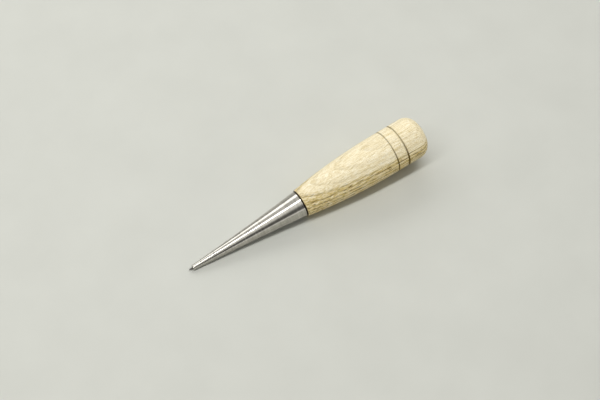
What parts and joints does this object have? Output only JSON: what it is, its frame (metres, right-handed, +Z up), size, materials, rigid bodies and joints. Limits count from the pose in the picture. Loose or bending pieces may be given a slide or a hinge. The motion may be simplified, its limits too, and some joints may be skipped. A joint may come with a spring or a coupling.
{
  "type": "scratch awl",
  "caption": "Scratch awl with a solid turned steel cone, a fine hard point and a swelling turned wood handle with two dark grooves near its domed butt.",
  "frame": {"origin": "centre of the tool's footprint on the bench it lies on, at the bench's height", "axes": "+X along the tool from the point towards the butt, level; +Z up from the bench. The tool's own axis rises towards the butt by 5.86 degrees in the XZ plane, because the tool lies on the edge of its nose and on the belly of its handle"},
  "size_m": [0.1412, 0.023, 0.0264],
  "materials": {
    "turned_steel": "stainless steel turned on a lathe, fine lines round the cone, left bright",
    "hard_metal": "ground hard metal, dark grey",
    "turned_wood": "pale ring-porous wood, turned, sanded and oiled, grain along the handle, satin",
    "epoxy": "cured two-part epoxy, translucent amber"
  },
  "bodies": {
    "root": {"steel_cone": "turned_steel", "hard_point": "hard_metal", "handle": "turned_wood", "tang_glue": "epoxy"}
  },
  "joints": []
}
